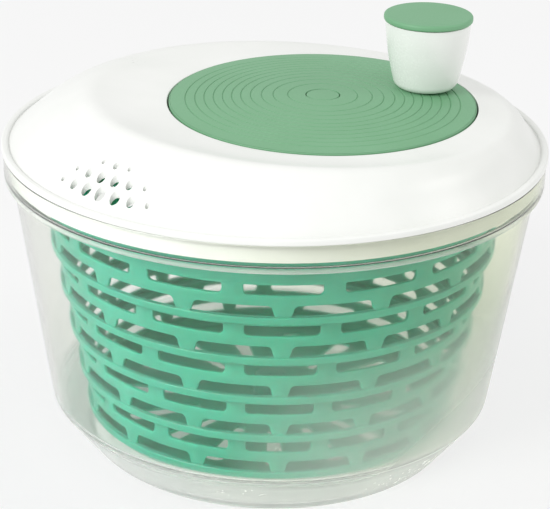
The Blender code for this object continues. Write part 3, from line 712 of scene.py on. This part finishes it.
def makeLid():
    offset = crankSpot.x
    half = offset / 2.0
    bead = bowlTop + 0.3
    seat = bowlTop + 22.1
    crest = seat + 0.3
    skirt = lidRadius - 3.7
    thick = lid["thick"]
    recess = lid["recess"]
    opening = (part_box("ring_gear")[1].x / mm - offset) + 2.0
    lines = [
        # radius, height, shift towards the crank, tilt, rounding
        (skirt, bead - 8.8, 0.0, 0.0, 0.0),
        (skirt, bead, 0.0, 0.0, 0.3),
        (lidRadius, bead, 0.0, 0.0, 0.8),
        (lidRadius, bead + 3.1, 0.0, 0.0, 1.1),
        (lidRadius - 2.9, bead + 3.1, 0.0, 0.0, 0.8),
        (lidRadius - 3.6, bead + 1.9, 0.0, 0.0, 0.4),
        (lidRadius - 4.4, bead + 2.6, 0.0, 0.0, 0.5),
        (lidRadius - 10.4, bead + 8.8, half * 0.18, 0.25, 2.6),
        (lidRadius - 18.2, (bead + 2.8 + crest) / 2.0 + 4.2, half * 0.5, 0.6, 4.6),
        (lid["crestRadius"], crest + 0.2, half, 1.0, 3.4),
        ((lid["crestRadius"] + recess) / 2.0, seat - 0.5, half + 5.6, 0.42, 6.0),
        (recess, seat, offset, 0.0, 0.45),
        (recess, seat - 6.4, offset, 0.0, 0.6),
        (opening, seat - 6.4, offset, 0.0, 0.4),
        (opening, seat - 8.4, offset, 0.0, 0.4),
        (recess + 2.0, seat - 8.4, offset, 0.0, 0.6),
        (recess + 2.0, seat - thick - 0.2, offset, 0.0, 0.6),
        ((lid["crestRadius"] + recess) / 2.0 + 0.6, seat - 0.5 - thick, half + 5.6, 0.42, 4.0),
        (lid["crestRadius"] - 2.6, crest - thick - 0.4, half, 1.0, 2.0),
        (lidRadius - 19.8, (bead + 2.8 + crest) / 2.0 + 2.4, half * 0.5, 0.6, 5.0),
        (lidRadius - 12.2, bead + 7.0, half * 0.18, 0.25, 3.0),
        (skirt - 2.0, bead + 0.4, 0.0, 0.0, 1.0),
        (skirt - 2.0, bead - 8.8, 0.0, 0.0, 0.0),
    ]
    bm = bmesh.new()
    joinRings(bm, [lidRing(bm, *line) for line in softLine(lines)], closed=True)
    piece = finishPiece("lidShell", bm, lidAbs, sharp=50.0)

    # posts for the cover screws, each with its hole
    bm = bmesh.new()
    holes = bmesh.new()
    for name in ("cover_screw_1", "cover_screw_2", "cover_screw_3", "cover_screw_4"):
        low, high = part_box(name)
        spot = ((low.x + high.x) / 2.0 / mm, (low.y + high.y) / 2.0 / mm)
        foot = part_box("gear_cover")[0].z / mm + 2.3
        turnedRings(bm, [(0.0, foot), (4.0, foot), (4.4, seat - 7.6), (0.0, seat - 7.6)], 32, spot)
        turnedRings(holes, [(0.0, foot - 1.0), (1.5, foot - 1.0), (1.5, seat - 9.6),
                            (0.0, seat - 9.6)], 24, spot)
    carve(piece, finishPiece("posts", bm, lidAbs), "UNION")
    carve(piece, finishPiece("postHoles", holes, lidAbs))
    carve(piece, drainTool(bead + 2.8))
    piece.data.polygons.foreach_set("use_smooth", [True] * len(piece.data.polygons))
    piece.data.set_sharp_from_angle(angle=math.radians(48.0))
    return place(piece, "lid", "lid_white", "lid_shell")


drain = {
    "direction": -117.2,   # degrees around the bowl's axis
    "pitch": 4.0,          # degrees between holes in one arc
    "slope": 0.0,          # the holes go straight down
    "taper": 3.2,          # how fast the holes shrink towards the ends of an arc
    "rodLength": 16.0,
    "footInset": 4.6,      # where the lid's slope starts, and how it climbs from there
    "climb": 0.73,
    "arcs": ((7, 9.6, 5.4), (6, 14.6, 4.6), (3, 19.6, 2.9)),   # holes, inset from rim, widest
}


def drainTree():
    # one arc of round rods: points on a line, turned around the axis, widest in the middle
    tree = bpy.data.node_groups.new("drainArc", "GeometryNodeTree")
    face = tree.interface
    for name, kind in (("Holes", "NodeSocketInt"), ("Reach", "NodeSocketFloat"),
                       ("Height", "NodeSocketFloat"), ("Widest", "NodeSocketFloat"),
                       ("Direction", "NodeSocketFloat"), ("Pitch", "NodeSocketFloat"),
                       ("Slope", "NodeSocketFloat")):
        face.new_socket(name, in_out="INPUT", socket_type=kind)
    face.new_socket("Rods", in_out="OUTPUT", socket_type="NodeSocketGeometry")
    given = addNode(tree, "NodeGroupInput").outputs
    line = addNode(tree, "GeometryNodeMeshLine", {}, {"Count": given["Holes"]})
    number = addNode(tree, "GeometryNodeInputIndex").outputs[0]
    last = addNode(tree, "ShaderNodeMath", {"operation": "SUBTRACT", 1: 1.0},
                   {0: given["Holes"]})
    middle = addNode(tree, "ShaderNodeMath", {"operation": "MULTIPLY", 1: 0.5},
                     {0: last.outputs[0]})
    fromMiddle = addNode(tree, "ShaderNodeMath", {"operation": "SUBTRACT"},
                         {0: number, 1: middle.outputs[0]}).outputs[0]
    angle = addNode(tree, "ShaderNodeMath", {"operation": "MULTIPLY_ADD"},
                    {0: fromMiddle, 1: given["Pitch"], 2: given["Direction"]}).outputs[0]
    cosine = addNode(tree, "ShaderNodeMath", {"operation": "COSINE"}, {0: angle})
    sine = addNode(tree, "ShaderNodeMath", {"operation": "SINE"}, {0: angle})
    x = addNode(tree, "ShaderNodeMath", {"operation": "MULTIPLY"},
                {0: cosine.outputs[0], 1: given["Reach"]})
    y = addNode(tree, "ShaderNodeMath", {"operation": "MULTIPLY"},
                {0: sine.outputs[0], 1: given["Reach"]})
    spot = addNode(tree, "ShaderNodeCombineXYZ", {},
                   {0: x.outputs[0], 1: y.outputs[0], 2: given["Height"]})
    moved = addNode(tree, "GeometryNodeSetPosition", {},
                    {"Geometry": line.outputs[0], "Position": spot.outputs[0]})
    rod = addNode(tree, "GeometryNodeMeshCylinder",
                  {"Vertices": 28, "Radius": 0.5, "Depth": drain["rodLength"] * mm})
    turn = addNode(tree, "ShaderNodeCombineXYZ", {}, {1: given["Slope"], 2: angle})
    away = addNode(tree, "ShaderNodeMath", {"operation": "DIVIDE"},
                   {0: fromMiddle, 1: given["Holes"]})
    square = addNode(tree, "ShaderNodeMath", {"operation": "MULTIPLY"},
                     {0: away.outputs[0], 1: away.outputs[0]})
    taper = addNode(tree, "ShaderNodeMath",
                    {"operation": "MULTIPLY_ADD", 1: -drain["taper"], 2: 1.0},
                    {0: square.outputs[0]})
    wide = addNode(tree, "ShaderNodeMath", {"operation": "MULTIPLY"},
                   {0: taper.outputs[0], 1: given["Widest"]})
    size = addNode(tree, "ShaderNodeCombineXYZ", {2: 1.0}, {0: wide.outputs[0], 1: wide.outputs[0]})
    rods = addNode(tree, "GeometryNodeInstanceOnPoints", {},
                   {"Points": moved.outputs[0], "Instance": rod.outputs["Mesh"],
                    "Rotation": turn.outputs[0], "Scale": size.outputs[0]})
    real = addNode(tree, "GeometryNodeRealizeInstances", {}, {0: rods.outputs[0]})
    painted = addNode(tree, "GeometryNodeSetMaterial", {"Material": lidAbs},
                      {"Geometry": real.outputs[0]})
    addNode(tree, "NodeGroupOutput", {}, {0: painted.outputs[0]})
    return tree


def drainTool(foot):
    tree = drainTree()
    bm = bmesh.new()
    for count, inset, widest in drain["arcs"]:
        rise = (inset - drain["footInset"]) * drain["climb"]
        arc = bpy.data.objects.new("arc", bpy.data.meshes.new("arc"))
        bpy.context.scene.collection.objects.link(arc)
        modifier = arc.modifiers.new("arc", "NODES")
        modifier.node_group = tree
        setInputs(modifier, {"Holes": count, "Reach": (lidRadius - inset) * mm,
                             "Height": (foot + rise + 1.0) * mm,
                             "Widest": widest * mm,
                             "Direction": math.radians(drain["direction"]),
                             "Pitch": math.radians(drain["pitch"]),
                             "Slope": math.radians(drain["slope"])})
        settle(arc)
        bm.from_mesh(arc.data)
        bpy.data.objects.remove(arc, do_unlink=True)
    return finishPiece("drainRods", bm, lidAbs)


makeLid()
print("lid made")


# ---- crank disc with its rings, and the cap over its axle
disc = {
    "edge": discCrown - 3.0,       # top of the disc at its rim
    "rise": 3.0,
    "rings": (16.5, 23.4, 28.9, 34.1, 38.7, 43.0, 47.3, 51.6, 56.0, 60.3, 64.9),
    "grooveWide": 0.75,
    "grooveDeep": 0.45,
}


def discHeight(radius):
    return disc["edge"] + disc["rise"] * (1.0 - (radius / discRadius) ** 2)


def makeDisc():
    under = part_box("ring_gear")[1].z / mm + 0.3
    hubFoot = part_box("crank_disc")[0].z / mm
    centre = (crankSpot.x, crankSpot.y)
    profile = [
        (4.3, hubFoot, 0.0),
        (8.0, hubFoot, 0.3),
        (8.0, under, 0.4),
        (discRadius - 1.0, under, 0.3),
        (discRadius, under + 0.8, 0.3),
        (discRadius, disc["edge"] - 0.1, 0.5),
        (discRadius - 0.7, discHeight(discRadius - 0.7), 0.3),
    ]
    wide = disc["grooveWide"]
    for ring in reversed(disc["rings"]):
        outer = ring + wide / 2.0
        inner = ring - wide / 2.0
        profile.append((outer, discHeight(outer), 0.12))
        profile.append((ring, discHeight(ring) - disc["grooveDeep"], 0.12))
        profile.append((inner, discHeight(inner), 0.12))
    profile += [
        (8.2, discHeight(8.2), 0.3),
        (8.2, under + 2.1, 0.0),
        (4.3, under + 2.1, 0.0),
    ]
    piece = turnedPiece("crankDisc", profile, discAbs, steps=fineSteps, centre=centre)
    bm = bmesh.new()
    turnedRings(bm, [(0.0, under - 1.0), (3.3, under - 1.0), (3.3, discCrown + 1.0),
                     (0.0, discCrown + 1.0)], 32, (knobSpot.x, knobSpot.y))
    carve(piece, finishPiece("axleHole", bm, discAbs))
    piece.data.set_sharp_from_angle(angle=math.radians(38.0))
    place(piece, "crank", "disc_green", "crank_disc")
    cap = [
        (0.0, discCrown - 1.7, 0.0),
        (7.75, discCrown - 1.7, 0.2),
        (7.75, discCrown - 0.1, 0.35),
        (0.0, discCrown, 0.0),
    ]
    piece = turnedPiece("discCap", cap, discAbs, steps=96, centre=centre)
    place(piece, "crank", "disc_green", "disc_cap")


makeDisc()
print("crank disc made")


# ---- knob
knob = {
    "foot": 13.3,
    "capTall": 2.9,
}


def makeKnob():
    centre = (knobSpot.x, knobSpot.y)
    wide = (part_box("knob_cap")[1].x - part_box("knob_cap")[0].x) / 2.0 / mm
    foot = knob["foot"]
    capUnder = knobTop - knob["capTall"]
    cup = capUnder - 0.3
    tall = cup - knobFoot
    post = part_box("knob_clip")[0].z / mm - 0.8
    body = [
        (5.0, knobFoot, 0.2),
        (foot, knobFoot, 1.0),
        (foot + 1.9, knobFoot + 1.9, 1.2),
        (foot + 3.3, knobFoot + 0.22 * tall, 2.5),
        (foot + 5.1, knobFoot + 0.48 * tall, 3.0),
        (wide - 1.4, knobFoot + 0.76 * tall, 3.0),
        (wide - 0.8, cup, 0.3),
        (wide - 2.8, cup, 0.3),
        (wide - 3.6, knobFoot + 0.74 * tall, 3.0),
        (foot + 3.0, knobFoot + 0.46 * tall, 3.0),
        (foot + 0.4, knobFoot + 5.0, 1.5),
        (8.0, knobFoot + 3.6, 1.0),
        (7.0, post, 0.3),
        (5.0, post, 0.3),
    ]
    piece = turnedPiece("knobBody", body, knobAbs, steps=128, centre=centre)
    place(piece, "knob", "lid_white", "knob_body")
    cap = [
        (0.0, capUnder + 0.4, 0.0),
        (wide - 4.6, capUnder + 0.4, 0.3),
        (wide - 4.6, capUnder - 2.4, 0.2),
        (wide - 3.3, capUnder - 2.4, 0.2),
        (wide - 3.3, capUnder, 0.2),
        (wide, capUnder, 0.9),
        (wide, knobTop - 0.15, 1.1),
        (wide - 4.0, knobTop, 1.0),
        (0.0, knobTop, 0.0),
    ]
    piece = turnedPiece("knobCap", cap, discAbs, steps=128, centre=centre)
    place(piece, "knob", "disc_green", "knob_cap")


makeKnob()
print("knob made")


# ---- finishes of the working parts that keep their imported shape
finishes = {
    "acetal": ("pivot_cup", "drive_pinion", "pinion_bush", "ring_gear", "axle_washer", "knob_bush"),
    "white": ("gear_cover", "drive_plate"),
    "steel": ("pivot_pin", "drive_plate_screw", "crank_axle", "axle_clip", "knob_axle", "knob_clip",
              "cover_screw_1", "cover_screw_2", "cover_screw_3", "cover_screw_4",
              "ring_gear_screw_1", "ring_gear_screw_2", "ring_gear_screw_3", "ring_gear_screw_4"),
}
for key, finish in (("acetal", acetal), ("white", lidAbs), ("steel", steel)):
    for name in finishes[key]:
        nodes[name].material_slots[0].material = finish
print("working parts finished")


# ---- floor, light and camera
def makeFloor():
    material, tree, out = newMaterial("paleFloor")
    coords = addNode(tree, "ShaderNodeTexCoord").outputs["Object"]
    tone = blendColour(tree, mottle(tree, coords, 400.0).outputs[0], "#868686", "#888888")
    shader = addNode(tree, "ShaderNodeBsdfPrincipled",
                     {"Roughness": 0.9, "Specular IOR Level": 0.1, "Emission Strength": 0.68,
                      "Emission Color": (1.0, 1.0, 1.0, 1.0)},
                     {"Base Color": tone})
    tree.links.new(shader.outputs[0], out.inputs[0])
    bm = bmesh.new()
    bmesh.ops.create_grid(bm, x_segments=1, y_segments=1, size=6.0)
    floor = finishPiece("floor", bm, material)


def addLamp(name, spot, aim, size, power, colour):
    lamp = bpy.data.lights.new(name, "AREA")
    lamp.shape = "DISK"
    lamp.size = size
    lamp.energy = power
    lamp.color = hexColour(colour)[:3]
    holder = bpy.data.objects.new(name, lamp)
    holder.location = spot
    holder.rotation_euler = (Vector(aim) - Vector(spot)).to_track_quat("-Z", "Y").to_euler()
    bpy.context.scene.collection.objects.link(holder)


camera = {
    "distance": 0.96267,
    "pitch": 23.024,
    "turn": 11.4,
    "roll": 1.231,
    "aimHeight": 0.09669,
    "lens": 128.66,
    "shift": (0.0039, -0.0191),
}


def makeCamera():
    lens = bpy.data.cameras.new("camera")
    lens.sensor_width = 36.0
    lens.lens = camera["lens"]
    lens.shift_x, lens.shift_y = camera["shift"]
    holder = bpy.data.objects.new("camera", lens)
    turn = Matrix.Rotation(math.radians(camera["turn"]), 4, "Z")
    tip = Matrix.Rotation(math.radians(90.0 - camera["pitch"]), 4, "X")
    roll = Matrix.Rotation(math.radians(camera["roll"]), 4, "Z")
    back = Matrix.Translation((0.0, 0.0, camera["distance"]))
    holder.matrix_world = (Matrix.Translation((0.0, 0.0, camera["aimHeight"]))
                           @ turn @ tip @ back @ roll)
    bpy.context.scene.collection.objects.link(holder)
    bpy.context.scene.camera = holder


worldStrength = 0.80
world = bpy.data.worlds.new("studio")
world.use_nodes = True
background = world.node_tree.nodes["Background"]
background.inputs["Color"].default_value = (1.0, 1.0, 1.0, 1.0)
background.inputs["Strength"].default_value = worldStrength
bpy.context.scene.world = world
makeFloor()
addLamp("keyLight", (-1.1, -1.5, 1.3), (0.0, 0.0, 0.1), 1.0, 22.0, "#FFFFFF")
addLamp("rightLight", (1.6, 0.2, 1.2), (0.0, 0.0, 0.1), 0.7, 4.0, "#FFFDF8")
makeCamera()
print("stage set")
